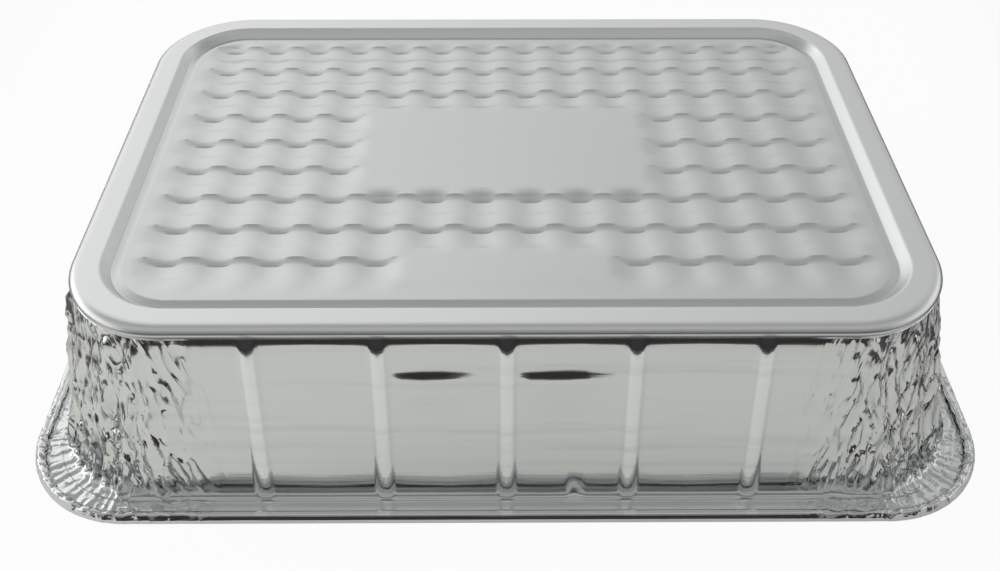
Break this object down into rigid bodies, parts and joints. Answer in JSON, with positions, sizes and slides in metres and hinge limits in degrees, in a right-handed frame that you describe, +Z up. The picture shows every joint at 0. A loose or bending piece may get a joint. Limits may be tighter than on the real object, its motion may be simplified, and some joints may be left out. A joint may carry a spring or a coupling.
{
  "type": "foil roasting pan",
  "caption": "Deep rectangular roasting pan pressed from aluminium foil, with ribbed flaring walls, pleated corners, a curled rim and a waffle-embossed base.",
  "frame": {"origin": "middle of the footprint, on the surface that the rim lies on; the pan is stored bottom up, as in the picture", "axes": "+X along the length, +Y across the width away from the picture's camera, +Z up from the rim to the base ring"},
  "size_m": [0.365, 0.268, 0.075],
  "materials": {
    "foil": "bright rolled foil"
  },
  "bodies": {
    "root": {"pan": "foil"}
  },
  "joints": []
}
